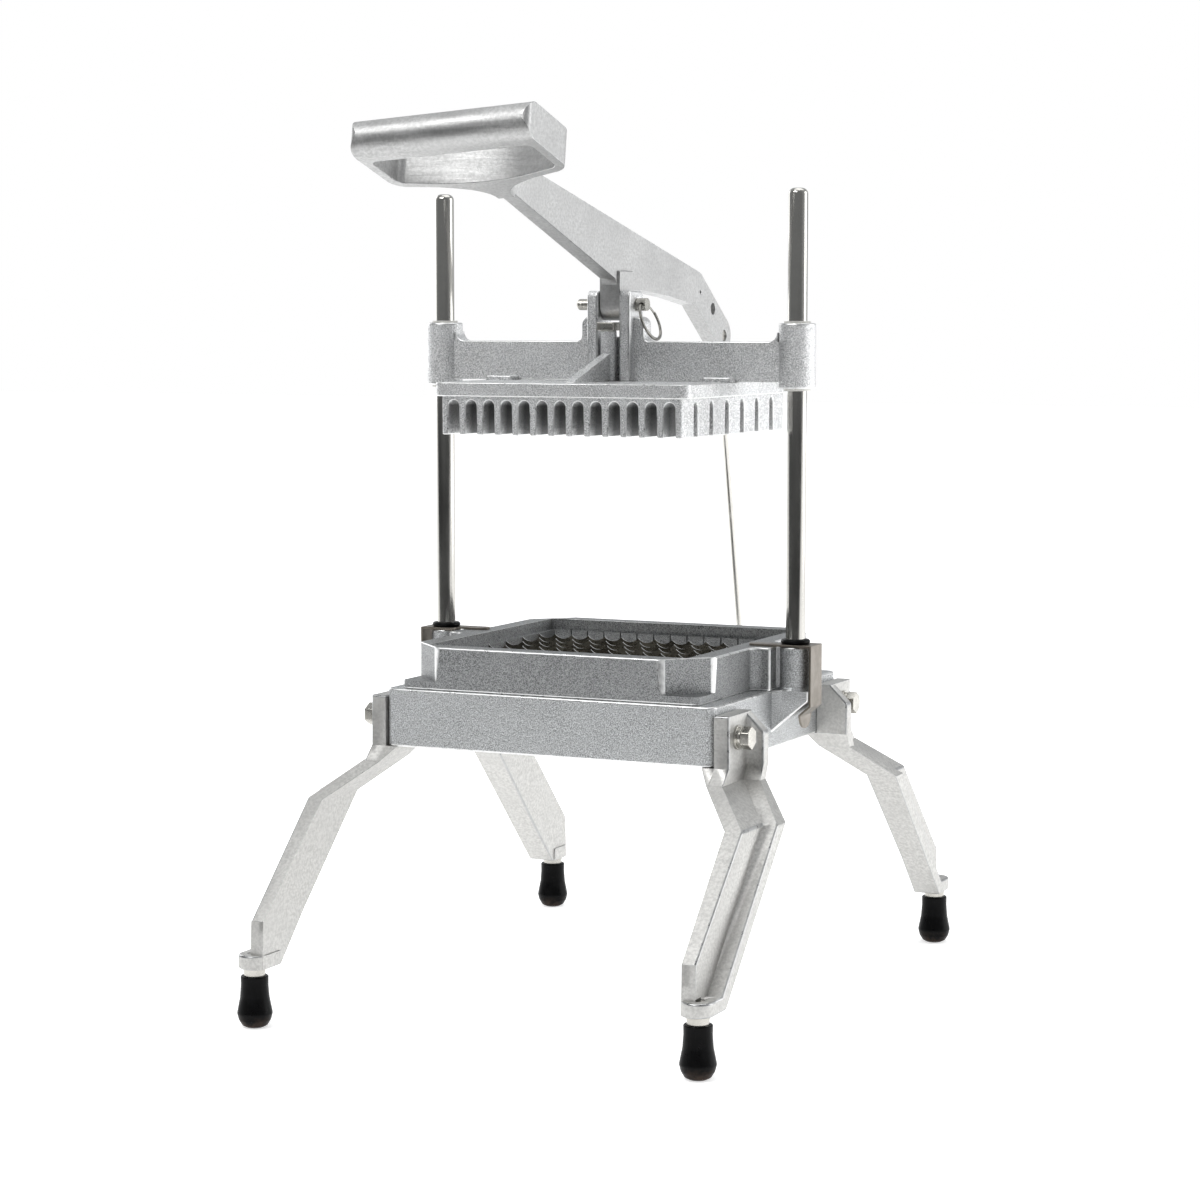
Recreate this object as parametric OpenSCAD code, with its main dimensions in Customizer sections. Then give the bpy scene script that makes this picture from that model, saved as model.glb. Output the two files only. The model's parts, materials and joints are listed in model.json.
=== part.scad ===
// Lettuce cutter: a hand lever presses a block of fingers down two guide rods and through a blade grid.
// Millimetres. Floor at z = 0, rods in the plane y = 0, operator on the -y side.

/* [Cutting grid] */
// Blade spacing across the machine
cell_x = 12.7; // [11.5:0.1:14]
// Blade spacing from front to back
cell_y = 25.4; // [23:0.1:27]
// Cells across the machine
cells_x = 14; // [12:2:16]
// Cells from front to back
cells_y = 7; // [6:1:8]
// Thickness of a blade
blade_t = 0.8; // [0.5:0.1:1.2]
// Height of a blade from back to cusp
blade_h = 8; // [6.5:0.5:9]
// Depth of one scallop of the cutting edge
scallop = 2.9; // [1.5:0.1:3.5]

/* [Base frame] */
// Height of the top face above the floor
base_top = 205; // [195:1:220]
// Height of the frame casting
base_h = 38; // [32:1:44]
// Width of the frame beside the opening
base_rim_x = 27.1; // [26:0.1:30]
// Width of the frame before and behind the opening
base_rim_y = 18.1; // [17.5:0.1:21]
// Wall thickness of the frame casting
base_wall = 8; // [6:0.5:10]
// Rounding of the upright corners
base_r = 6; // [3:0.5:8]

/* [Guide rods] */
// Rod diameter
rod_d = 12.7; // [11:0.1:13.5]
// Rod axis beyond the side of the base
rod_out = 12; // [11:0.5:14]
// Height of the rod tops
rod_top = 527.6; // [510:1:560]
// Diameter of the rod post on the base
post_d = 20; // [18.5:0.5:22]
// Height of the rod post, level with the holder rim
post_h = 28.2; // [26:0.2:31]

/* [Blade holder] */
// Wall of the holder beside the opening
holder_wall = 16.5; // [15:0.5:17]
// Corner cut of the holder wall
holder_cut = 26; // [24:1:27]
// Thickness of the holder's foot flange
foot_t = 5.5; // [4:0.5:8]
// Depth from the rim to the blade ledge
ledge_drop = 7.7; // [6:0.1:9]
// Width of the blade ledge
ledge_w = 3; // [2.4:0.1:4]
// Rounding of the pocket above the ledge
ledge_r = 2; // [1.5:0.5:2]
// Width of the saddle beside each rod post
saddle_w = 34; // [30:1:36]
// Fillet between the holder wall and its saddles
saddle_r = 8; // [5:0.5:9]

/* [Push block] */
// Height of the finger tips at rest
tip_z = 369.7; // [355:1:385]
// Length of a finger with its web
finger_h = 24.8; // [22:0.2:28]
// Gap between fingers across the machine
gap_x = 8.3; // [7.5:0.1:8.8]
// Gap between fingers from front to back
gap_y = 6.4; // [5.5:0.1:7.5]
// Thickness of the block's top plate
plate_t = 9; // [7:0.5:11]
// Overhang of the plate at the sides
plate_over_x = 5.1; // [3:0.1:6]
// Overhang of the plate at front and back
plate_over_y = 2.6; // [1.5:0.1:4]

/* [Pusher head] */
// Thickness of the cross beam
beam_t = 12.6; // [10:0.2:14]
// Height of the cross beam
beam_h = 26; // [23:0.5:28]
// Diameter of the rod bosses
boss_d = 24; // [23:0.5:28]
// Height of the rod bosses
boss_h = 42; // [38:0.5:46]
// Outside diameter of the sliding bush
bush_d = 17.3; // [16.5:0.1:18.5]
// Height of the handle pivot over the plate
pivot_h = 50; // [49:0.5:53]
// Thickness of a clevis ear
ear_t = 7.8; // [6:0.2:8.4]
// Diameter of the release pin
pin_d = 7.4; // [6.5:0.1:8]

/* [Handle] */
// Width of the lug between the ears
lug_w = 14.8; // [13:0.2:15.2]
// Thickness of the lever arm
arm_t = 11; // [9:0.2:12]
// Length of the grip bar
grip_w = 117; // [104:1:124]
// Diameter of the grip bar
grip_d = 23; // [21:0.2:25]
// Reach of the grip ring from bar to rear wall
grip_l = 72; // [66:1:78]
// Forward reach of the grip from the pivot
grip_y = 248; // [242:1:256]
// Height of the grip over the pivot
grip_z = 103.5; // [101:0.5:106]
// Downward slope of the grip ring to the rear, degrees
grip_tilt = 17.5; // [15:0.5:20]
// Sideways lean of the grip ring as cast, degrees
grip_roll = 4.5; // [0:0.5:5]

/* [Rear link] */
// Link pivot on the handle, behind the lever pivot
tail_y = 171; // [167:1:175]
// Link pivot on the handle, below the lever pivot
tail_z = 21.5; // [20:0.5:23]
// Reach of the rear bracket behind the base
bracket_y = 113.5; // [110:0.5:117]
// Diameter of the link rod
link_d = 4.2; // [3.6:0.1:4.6]
// Thickness of the link eyes
eye_t = 4.2; // [3.8:0.1:4.6]

/* [Legs and feet] */
// Reach of the foot beyond the side of the base
foot_x = 36; // [33:0.5:40]
// Reach of the foot beyond the front or back of the base
foot_y = 106.3; // [100:1:114]
// Height of the rubber foot
foot_h = 33; // [30:0.5:36]
// Largest diameter of the rubber foot
foot_d = 22.4; // [20:0.2:25]
// Thickness of the leg web
leg_t = 9.5; // [8:0.5:11]
// Across flats of the leg bolts
bolt_af = 13; // [11.5:0.5:14]

/* [Hidden] */
$fn = 48;
// Gap of a running fit, on the radius
run = 0.05;
// Opening over the blades and the spans that follow from it
open_x = cell_x * cells_x;
open_y = cell_y * cells_y;
side_x = open_x / 2 + base_rim_x;
front_y = open_y / 2 + base_rim_y;
base_low = base_top - base_h;
rod_x = side_x + rod_out;
rim_z = base_top + post_h;
holder_x = open_x / 2 + holder_wall;
holder_y = open_y / 2 + holder_wall;
ledge_z = rim_z - ledge_drop;
cross_low = ledge_z - blade_h;
length_low = cross_low - 0.2 - blade_h;
lug_out = 13;
lug_w_y = 22;
lug_end = 6.5;
lug_drop = 27.5;
// Retaining clips and stop rings
clip_t = 1.5;
clip_w = 20;
clip_x = lug_out + 0.1 + clip_t;
clip_jog = 7;
clip_low = base_top - 25;
ring_t = 3.2;
ring_z = rim_z + clip_t;
// Push block and pusher head
finger_x = cell_x - gap_x;
finger_y = cell_y - gap_y;
block_x = open_x - gap_x;
block_y = open_y - gap_y;
plate_z = tip_z + finger_h;
head_z = plate_z + plate_t;
boss_z = head_z - 4;
bush_over = 1.3;
pivot_z = head_z + pivot_h;
ear_in = lug_w / 2 + 0.3;
ear_out = ear_in + ear_t;
lug_r = 10.5;
elbow_y = tail_y - 47;
elbow_z = tail_z - 10.5;
elbow_r = 11.6;
seat_z = head_z + 33;
bolt_y = -12;
bolt_post = 10.6;
bolt_head = 12;
bolt_head_h = 5.4;
crown_x = ear_out + 7;
crown_z = head_z + pivot_h - 8;
// Release pin
pin_left = ear_out + 12.5;
pin_head = ear_out + 0.3;
head_l = 6.8;
eyelet_x = pin_head + 4.2;
key_r = 12.4;
key_wire = 1.8;
key_lean = 22;
// Rear link: pivots C on the handle and B on the bracket, and the rod between them
tail_r = 11.5;
c_y = tail_y;
c_z = pivot_z - tail_z;
b_y = front_y + bracket_y;
b_z = base_top - 20;
link_len = sqrt(pow(c_y - b_y, 2) + pow(c_z - b_z, 2));
link_lean = atan2(b_y - c_y, c_z - b_z);
eye_r = 8;
pin_b = 6;
pin_c = 8;
fork_w = eye_t + 0.8;
cheek_in = eye_t / 2 + 1;
cheek_t = 5;
cheek_out = cheek_in + cheek_t;
cheek_r = 10;
plate_w = 42;
plate_h = 30;
foot_plate = 7;
screw_x = plate_w / 2 - 6.5;
// Slot of the lower pin, rising to the rear
slot_l = 18;
slot_h = 9;
slot_lean = 14.6;
// Legs, measured outward from the side and from the front of the base
leg_pad = leg_t + 1;
leg_rib = 22;
pad_w = 37.5;
rib_w = 9;
pad_top = base_top - 5;
fold_z = base_low - 9.5;
bend_z = base_low - 31.5;
low_z = foot_h + 35;
heel_z = foot_h + 5;
bend_in = foot_x - leg_t - 2;
ankle_in = foot_x - leg_t + 0.5;
rib_out = foot_x + 10;
bolt_z = base_top - 19.5;
flat_t = 1.5;
spring_t = 2.3;
washer_t = flat_t + spring_t;

// Rectangle with rounded corners
module rounded(w, d, r) {
  square([w - 2 * r, d], center = true);
  square([w, d - 2 * r], center = true);
  for (sx = [-1, 1], sy = [-1, 1])
    translate([sx * (w / 2 - r), sy * (d / 2 - r)]) circle(r);
}

// Profile drawn in x and z, drawn out along y
module along_y(w) rotate([90, 0, 0]) linear_extrude(w, center = true) children();

// Profile drawn in y and z, drawn out along x
module along_x(w) rotate([90, 0, 90]) linear_extrude(w, center = true) children();

// Cylinder along x from x1 to x2
module bar_x(x1, x2, d) translate([x1, 0, 0]) rotate([0, 90, 0]) cylinder(h = x2 - x1, d = d);

// Concave fillet profile in the corner of two straight edges
module fillet(r) difference() {
  translate([-0.5, -0.5]) square(r + 0.5);
  translate([r, r]) circle(r);
}

// Hexagonal bolt head, flats across af
module hex_head(af, h) cylinder(h = h, d = af / cos(30), $fn = 6);

// Copies a right front piece to one corner of the base
module corner(sx, sy) mirror([sx < 0 ? 1 : 0, 0, 0]) mirror([0, sy > 0 ? 1 : 0, 0]) children();

// Base casting
module side_lug() {
  translate([0, 0, 0]) along_y(lug_w_y) polygon([
    [side_x - 2, base_top], [rod_x + lug_out, base_top],
    [rod_x + lug_out, base_top - lug_end], [side_x, base_top - lug_drop], [side_x - 2, base_top - lug_drop]
  ]);
  translate([rod_x, 0, base_top - 1]) cylinder(h = post_h + 1, d = post_d);
  translate([rod_x, 0, base_top]) cylinder(h = 2, d1 = post_d + 3, d2 = post_d);
}

module base_frame() color("#b9bcbf") difference() {
  union() {
    translate([0, 0, base_low]) linear_extrude(base_h) rounded(2 * side_x, 2 * front_y, base_r);
    side_lug();
    mirror([1, 0, 0]) side_lug();
  }
  translate([0, 0, base_low - 1]) linear_extrude(base_h + 2) square([open_x + 2, open_y + 2], center = true);
  translate([0, 0, base_low - 1]) linear_extrude(base_h - base_wall + 1)
    rounded(2 * (side_x - base_wall), 2 * (front_y - base_wall), 3);
  for (s = [-1, 1]) translate([s * rod_x, 0, base_top - 10]) cylinder(h = post_h + 11, d = rod_d);
  for (sx = [-1, 1], sy = [-1, 1]) corner(sx, sy)
    translate([0, -(front_y - 14), bolt_z]) bar_x(side_x - base_wall - 3, side_x + 3, 8);
  for (s = [-1, 1]) translate([s * screw_x, front_y - base_wall - 3, b_z]) rotate([-90, 0, 0])
    cylinder(h = base_wall + 6, d = 6);
}

// Cast leg: a bolted pad and a web with a raised rib, bent away from the base and then out sideways
module slab(x1, x2, o1, o2, z) translate([side_x + x1, -front_y - o2, z]) cube([x2 - x1, o2 - o1, 0.4]);

// Upper leg seen from the side: pad above, leaning part below, from the inner edge to a given width
module pad_profile(w_pad, w_fold, top) polygon([
  [pad_w - front_y, top], [pad_w - front_y, base_low], [pad_w - front_y - 5.5, fold_z],
  [pad_w - front_y - 5.5 - w_fold, fold_z], [pad_w - front_y - w_pad, base_low], [pad_w - front_y - w_pad, top]
]);

module leg_body() {
  translate([side_x + leg_pad / 2, 0, 0]) along_x(leg_pad) pad_profile(pad_w, 42.5, pad_top);
  difference() {
    translate([side_x + leg_rib / 2, 0, 0]) along_x(leg_rib) pad_profile(rib_w, rib_w, pad_top);
    translate([side_x + leg_pad - 1, 0, pad_top]) rotate([0, 45, 0])
      translate([0, -2 * front_y, 0]) cube([40, 4 * front_y, 40]);
  }
  // shoulder under the base, then the web with its bend, ankle and heel
  hull() {
    slab(-8, 1, -pad_w, 0, base_low - 0.4);
    slab(-0.5, 1, -pad_w + 5.5, 10.5, fold_z);
  }
  hull() {
    slab(-0.5, leg_pad, -pad_w + 5.5, 10.5, fold_z);
    slab(bend_in, foot_x, -6, 40, bend_z);
  }
  hull() {
    slab(bend_in, foot_x, -6, 40, bend_z);
    slab(ankle_in, foot_x, foot_y - 47, foot_y + 3.5, low_z);
  }
  hull() {
    slab(ankle_in, foot_x, foot_y - 47, foot_y + 3.5, low_z);
    slab(ankle_in, foot_x, foot_y - 18, foot_y + 5, heel_z);
  }
  // rib on the inner edge
  hull() {
    slab(leg_pad - 2, leg_rib, -pad_w + 5.5, -pad_w + 5.5 + rib_w, fold_z);
    slab(foot_x - 2, rib_out, -6, 8, bend_z);
  }
  hull() {
    slab(foot_x - 2, rib_out, -6, 8, bend_z);
    slab(foot_x - 2, rib_out, foot_y - 47, foot_y - 34, low_z);
  }
  hull() {
    slab(foot_x - 2, rib_out, foot_y - 47, foot_y - 34, low_z);
    slab(foot_x - 2, rib_out, foot_y - 18, foot_y - 5.3, heel_z);
  }
  // shoe over the foot stud
  translate([side_x + foot_x, -front_y - foot_y, heel_z]) linear_extrude(9) {
    circle(10);
    translate([-10, 0]) square([20, 16]);
  }
}

module leg() color("#c9cbcd") difference() {
  leg_body();
  translate([0, -(front_y - 14), bolt_z]) bar_x(side_x - 1, side_x + leg_pad + 1, 8.4);
  translate([side_x + foot_x, -front_y - foot_y, heel_z - 1]) cylinder(h = 11, d = 8);
}

module leg_front_right() corner(1, -1) leg();
module leg_front_left() corner(-1, -1) leg();
module leg_rear_right() corner(1, 1) leg();
module leg_rear_left() corner(-1, 1) leg();

module leg_bolts() color("#c4bfae") for (sx = [-1, 1], sy = [-1, 1]) corner(sx, sy)
  translate([side_x + leg_pad + washer_t, -(front_y - 14), bolt_z]) {
    rotate([0, 90, 0]) hex_head(bolt_af, 6);
    bar_x(-leg_pad - washer_t - base_wall, 1, 8);
  }

// Flat washer and split spring washer under each bolt head
module leg_washers() color("#a9a493") for (sx = [-1, 1], sy = [-1, 1]) corner(sx, sy)
  translate([side_x + leg_pad, -(front_y - 14), bolt_z]) difference() {
    union() {
      bar_x(0, flat_t, bolt_af + 2.6);
      bar_x(flat_t - 0.2, washer_t, bolt_af + 0.4);
    }
    bar_x(-1, washer_t + 1, 8.4);
    translate([flat_t, 3, -0.6]) cube([washer_t, bolt_af, 1.2]);
  }

// Stud between leg and rubber foot
module foot_studs() color("#c4c2ba") for (sx = [-1, 1], sy = [-1, 1]) corner(sx, sy)
  translate([side_x + foot_x, -front_y - foot_y, 0]) {
    translate([0, 0, heel_z]) cylinder(h = 8.6, d = 8);
    translate([0, 0, foot_h + 2]) cylinder(h = heel_z - foot_h - 2, d1 = 13.6, d2 = 15);
    translate([0, 0, foot_h]) cylinder(h = 2, d = 13.6);
    translate([0, 0, 13]) cylinder(h = foot_h - 13, d = 11);
  }

module rubber_foot() color("#1b1a19") translate([side_x + foot_x, -front_y - foot_y, 0]) difference() {
  rotate_extrude() {
    polygon([
      [0, 0], [foot_d / 2 - 6, 0], [foot_d / 2 - 3.2, 1.4], [foot_d / 2 - 1, 5],
      [foot_d / 2, 9], [foot_d / 2 - 0.1, 10], [foot_d / 2 - 1.9, 19], [foot_d / 2 - 2.5, foot_h - 6],
      [foot_d / 2 - 2.4, foot_h - 0.6], [foot_d / 2 - 3, foot_h], [0, foot_h]
    ]);
  }
  translate([0, 0, 13]) cylinder(h = foot_h, d = 11);
}

module foot_front_right() corner(1, -1) rubber_foot();
module foot_front_left() corner(-1, -1) rubber_foot();
module foot_rear_right() corner(1, 1) rubber_foot();
module foot_rear_left() corner(-1, 1) rubber_foot();

// Guide rod with a domed top
module guide_rod(s) color("#c3c1bb") translate([s * rod_x, 0, 0]) rotate_extrude() {
  translate([0, base_top - 10]) square([rod_d / 2, rod_top - 4 - base_top + 10]);
  translate([0, rod_top - 4 - 0.01]) square([rod_d / 2 - 4, 4.01]);
  intersection() {
    translate([rod_d / 2 - 4, rod_top - 4]) circle(4);
    translate([0, rod_top - 4]) square(10);
  }
}

module guide_rod_right() guide_rod(1);
module guide_rod_left() guide_rod(-1);

// Rubber stop ring on the rod
module stop_ring(s) color("#141414") translate([s * rod_x, 0, ring_z + ring_t / 2])
  rotate_extrude() translate([rod_d / 2 + ring_t / 2, 0]) circle(d = ring_t);

module stop_ring_right() stop_ring(1);
module stop_ring_left() stop_ring(-1);

// Sheet clip over the rod post: flange, tongue on the holder rim, strip and hooked tab
module clip() color("#a99f8c") difference() {
  union() {
    intersection() {
      along_y(clip_w) polygon([
        [-post_d / 2, rim_z + clip_t], [clip_x, rim_z + clip_t], [clip_x, base_top - 10],
        [clip_x - clip_jog, base_top - 16], [clip_x - clip_jog, clip_low], [clip_x - clip_jog - clip_t, clip_low],
        [clip_x - clip_jog - clip_t, base_top - 15.4], [clip_x - clip_t, base_top - 9.4],
        [clip_x - clip_t, rim_z], [-post_d / 2, rim_z]
      ]);
      along_x(120) {
        translate([-clip_w / 2, clip_low + clip_w / 2]) square([clip_w, 90]);
        translate([0, clip_low + clip_w / 2]) circle(d = clip_w);
      }
    }
    translate([0, 0, rim_z]) linear_extrude(clip_t) {
      translate([-rod_out - 13, -clip_w / 2]) square([rod_out + 13, 10]);
      translate([-rod_out - 13, -clip_w / 2 + 5]) circle(5);
    }
  }
  translate([0, 0, rim_z - 1]) cylinder(h = clip_t + 2, d = rod_d + 0.6);
}

module clip_right() translate([rod_x, 0, 0]) clip();
module clip_left() translate([-rod_x, 0, 0]) rotate([0, 0, 180]) clip();

// Blade holder casting with cut corners, feet and a slotted blade ledge
module holder_plan() polygon([
  [holder_x, holder_y - holder_cut], [holder_x - holder_cut, holder_y],
  [holder_cut - holder_x, holder_y], [-holder_x, holder_y - holder_cut],
  [-holder_x, holder_cut - holder_y], [holder_cut - holder_x, -holder_y],
  [holder_x - holder_cut, -holder_y], [holder_x, holder_cut - holder_y]
]);

module blade_holder() color("#b4b7ba") difference() {
  union() {
    translate([0, 0, base_top]) linear_extrude(foot_t) rounded(2 * holder_x, 2 * holder_y, 6);
    translate([0, 0, base_top]) linear_extrude(post_h) holder_plan();
    translate([0, 0, base_top]) linear_extrude(post_h) difference() {
      square([2 * (rod_x - post_d / 2 - 0.8), saddle_w], center = true);
      for (s = [-1, 1]) translate([s * rod_x, 0]) circle(d = post_d + 4.6);
    }
    for (sx = [-1, 1], sy = [-1, 1]) corner(sx, -sy) translate([0, 0, base_top]) linear_extrude(post_h)
      translate([holder_x, -saddle_w / 2]) mirror([0, 1]) fillet(saddle_r);
  }
  translate([0, 0, base_top - 1]) linear_extrude(post_h + 2) square([open_x, open_y], center = true);
  translate([0, 0, ledge_z]) linear_extrude(ledge_drop + 1)
    rounded(open_x + 2 * ledge_w, open_y + 2 * ledge_w, ledge_r);
  for (i = [1 : cells_y - 1]) translate([0, (i - cells_y / 2) * cell_y, cross_low + blade_h])
    cube([open_x + 2 * ledge_w - 0.2, blade_t + 0.1, 2 * blade_h], center = true);
  for (i = [1 : cells_x - 1]) translate([(i - cells_x / 2) * cell_x, 0, length_low + blade_h])
    cube([blade_t + 0.1, open_y + 2 * ledge_w - 0.2, 2 * blade_h], center = true);
  for (i = [1 : cells_x - 1]) translate([(i - cells_x / 2) * cell_x, 0, ledge_z])
    cube([blade_t + 0.1, open_y + 2 * ledge_w - 0.2, 2 * blade_h], center = true);
}

// Blade with scallops between upright cusps, drawn in length and height
module blade_profile(len, pitch, count) difference() {
  translate([-len / 2, 0]) square([len, blade_h]);
  r = (pitch * pitch / 4 + scallop * scallop) / (2 * scallop);
  for (i = [0 : count - 1]) translate([(i - (count - 1) / 2) * pitch, blade_h - scallop + r]) circle(r);
}

module cross_blades() color("#8d8a80") for (i = [1 : cells_y - 1])
  translate([0, (i - cells_y / 2) * cell_y, cross_low]) along_y(blade_t)
    blade_profile(open_x + 2 * ledge_w - 0.4, cell_x, cells_x);

module length_blades() color("#8d8a80") for (i = [1 : cells_x - 1])
  translate([(i - cells_x / 2) * cell_x, 0, length_low]) along_x(blade_t)
    blade_profile(open_y + 2 * ledge_w - 0.4, cell_y / 2, 2 * cells_y);

// Rear bracket: two cheeks with a slot for the lower link pin
module bracket_side() hull() {
  translate([front_y + 1, b_z - plate_h / 2 + 2]) square([2, plate_h - 4]);
  translate([b_y, b_z]) circle(cheek_r);
  translate([b_y + slot_l * cos(slot_lean), b_z + slot_l * sin(slot_lean)]) circle(cheek_r);
}

module rear_bracket() color("#b9bcbf") difference() {
  union() {
    translate([0, front_y + foot_plate / 2, b_z]) rotate([90, 0, 0]) linear_extrude(foot_plate, center = true)
      rounded(plate_w, plate_h, cheek_r / 2);
    for (s = [-1, 1]) translate([s * (cheek_in + cheek_t / 2), 0, 0]) along_x(cheek_t) bracket_side();
    along_x(2 * cheek_in + 1) intersection() {
      bracket_side();
      translate([front_y, b_z - 2 * plate_h]) square([bracket_y - 3 * cheek_r, 4 * plate_h]);
    }
  }
  along_x(4 * cheek_out) translate([b_y, b_z]) rotate(slot_lean) {
    circle(d = slot_h);
    translate([0, -slot_h / 2]) square([slot_l, slot_h]);
    translate([slot_l, 0]) circle(d = slot_h);
  }
  for (s = [-1, 1]) translate([s * screw_x, front_y - 1, b_z]) rotate([-90, 0, 0])
    cylinder(h = 2 * foot_plate, d = 6.4);
}

module bracket_screws() color("#c4bfae") for (s = [-1, 1])
  translate([s * screw_x, front_y + foot_plate, b_z]) rotate([-90, 0, 0]) {
    hex_head(10, 4);
    translate([0, 0, -foot_plate - base_wall]) cylinder(h = foot_plate + base_wall + 1, d = 6);
  }

// Headed pin fixed in the lower link eye, kept in the slots by a ring
module link_pin_low() color("#c4c2ba") translate([0, b_y, b_z]) {
  bar_x(-cheek_out - 1, cheek_out + 2.4, pin_b);
  bar_x(-cheek_out - 2.6, -cheek_out - 0.6, slot_h + 4);
}

module link_retainer() color("#8f8b80") translate([0, b_y, b_z]) difference() {
  bar_x(cheek_out + 0.6, cheek_out + 1.6, slot_h + 4);
  bar_x(cheek_out, cheek_out + 3, pin_b);
}

// Link: a rod with two flat eyes
module link() color("#c3c1bb") translate([0, b_y, b_z]) rotate([link_lean, 0, 0]) difference() {
  union() {
    for (z = [0, link_len]) translate([0, 0, z]) bar_x(-eye_t / 2, eye_t / 2, 2 * eye_r);
    translate([0, 0, 5]) cylinder(h = link_len - 10, d = link_d);
  }
  bar_x(-eye_t, eye_t, pin_b);
  translate([0, 0, link_len]) bar_x(-eye_t, eye_t, pin_c + 2 * run);
}

// Pusher head casting: beam, rod bosses, crown, clevis ears, bolt post and front gusset
module beam_profile() {
  translate([-rod_x, head_z]) square([2 * rod_x, beam_h]);
  translate([-crown_x, head_z]) square([2 * crown_x, crown_z - head_z - 5]);
  translate([5 - crown_x, head_z]) square([2 * crown_x - 10, crown_z - head_z]);
  for (s = [-1, 1]) {
    translate([s * (crown_x - 5), crown_z - 5]) circle(5);
    translate([s * crown_x, head_z + beam_h]) mirror([s < 0 ? 1 : 0, 0]) fillet(3.5);
    translate([s * (rod_x - boss_d / 2 + 0.4), head_z + beam_h]) mirror([s > 0 ? 1 : 0, 0]) fillet(6);
  }
}

module ear_profile() {
  translate([-13, head_z]) square([22, pivot_h + 5]);
  translate([-9, head_z]) square([14, pivot_h + 9]);
  for (y = [-9, 5]) translate([y, pivot_z + 5]) circle(4);
}

module pusher_head() color("#b1b4b7") difference() {
  union() {
    difference() {
      along_y(beam_t) beam_profile();
      translate([0, 0, seat_z - 4 + 20]) cube([2 * ear_in, 60, 40], center = true);
    }
    for (s = [-1, 1]) {
      translate([s * rod_x, 0, boss_z]) cylinder(h = boss_h, d = boss_d);
      translate([s * (ear_in + ear_t / 2), 0, 0]) along_x(ear_t) ear_profile();
    }
    translate([0, bolt_y, head_z]) cylinder(h = seat_z - head_z, d = bolt_post);
    along_x(6) polygon([
      [0, head_z], [-(block_y / 2 - 14), head_z],
      [-(block_y / 2 - 16), head_z + 1.2], [-10, head_z + 20], [0, head_z + 20]
    ]);
  }
  for (s = [-1, 1]) translate([s * rod_x, 0, boss_z - 1]) cylinder(h = boss_h + 2, d = bush_d);
  translate([0, 0, pivot_z]) bar_x(-ear_out - 1, ear_out + 1, pin_d + 2 * run);
  translate([0, bolt_y, head_z - 1]) cylinder(h = pivot_h, d = 6.4);
}

// Push block: a plate with rows of fingers left standing between rounded channels
module channel(w, h, len) rotate([90, 0, 0]) linear_extrude(len, center = true) {
  polygon([[-w / 2, -1], [w / 2, -1], [w / 2 - 0.4, h - w / 2 + 0.4], [0.4 - w / 2, h - w / 2 + 0.4]]);
  translate([0, h - w / 2 + 0.4]) circle(w / 2 - 0.4);
}

module push_block() color("#b6b9bc") difference() {
  union() {
    translate([0, 0, tip_z]) linear_extrude(finger_h + 1) rounded(block_x, block_y, 1.5);
    translate([0, 0, plate_z]) linear_extrude(plate_t)
      rounded(block_x + 2 * plate_over_x, block_y + 2 * plate_over_y, 6);
    for (s = [-1, 1]) translate([s * (block_x / 2 - 6), -beam_t / 2 - 6, head_z - 1])
      linear_extrude(4) rounded(20, 11, 2);
  }
  for (i = [1 : cells_x - 1]) translate([(i - cells_x / 2) * cell_x, 0, tip_z])
    channel(gap_x, finger_h - 2.4, block_y + 20);
  for (i = [1 : cells_y - 1]) translate([0, (i - cells_y / 2) * cell_y, tip_z]) rotate([0, 0, 90])
    channel(gap_y, finger_h - 2.4, block_x + 20);
  translate([0, bolt_y, plate_z + 1]) cylinder(h = plate_t, d = 6.4);
}

module head_bolt() color("#c4bfae") translate([0, bolt_y, 0]) {
  translate([-bolt_head / 2, -bolt_head / 2, seat_z]) cube([bolt_head, bolt_head, bolt_head_h]);
  translate([0, 0, plate_z + 1]) cylinder(h = seat_z - plate_z, d = 6.4);
}

// Plastic bush with the rod's running fit
module bush(s) color("#eceae4") translate([s * rod_x, 0, boss_z - bush_over]) difference() {
  cylinder(h = boss_h + 2 * bush_over, d = bush_d);
  translate([0, 0, -1]) cylinder(h = boss_h + 2 * bush_over + 2, d = rod_d + 2 * run);
}

module bush_right() bush(1);
module bush_left() bush(-1);

// Handle casting, drawn from the lever pivot
module grip_plan(inset) hull() {
  for (s = [-1, 1]) {
    translate([s * (grip_w / 2 - 5 - inset), 5 + 3 * inset]) circle(r = 5, $fn = 32);
    translate([s * (grip_w / 2 - 12), grip_l - 22]) circle(r = 12 - inset, $fn = 32);
  }
  for (a = [-20 : 4 : 20]) translate([97 * sin(a), grip_l - 97 + (97 - inset) * cos(a) - 0.5]) circle(r = 0.5, $fn = 8);
}

module grip_ring() intersection() {
  linear_extrude(grip_d, center = true) difference() {
    union() {
      grip_plan(0);
      // flare into the arm
      polygon(concat(
        [for (i = [0 : 10]) [arm_t / 2 + 26 * pow(1 - i / 10, 2.4), grip_l - 5 + 2.8 * i]],
        [for (i = [10 : -1 : 0]) [-arm_t / 2 - 26 * pow(1 - i / 10, 2.4), grip_l - 5 + 2.8 * i]]
      ));
    }
    grip_plan(6);
  }
  along_x(2 * grip_w) {
    translate([grip_d / 2, 0]) circle(d = grip_d);
    translate([grip_d / 2, -grip_d / 2]) square([grip_l + 60, grip_d]);
  }
}

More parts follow.
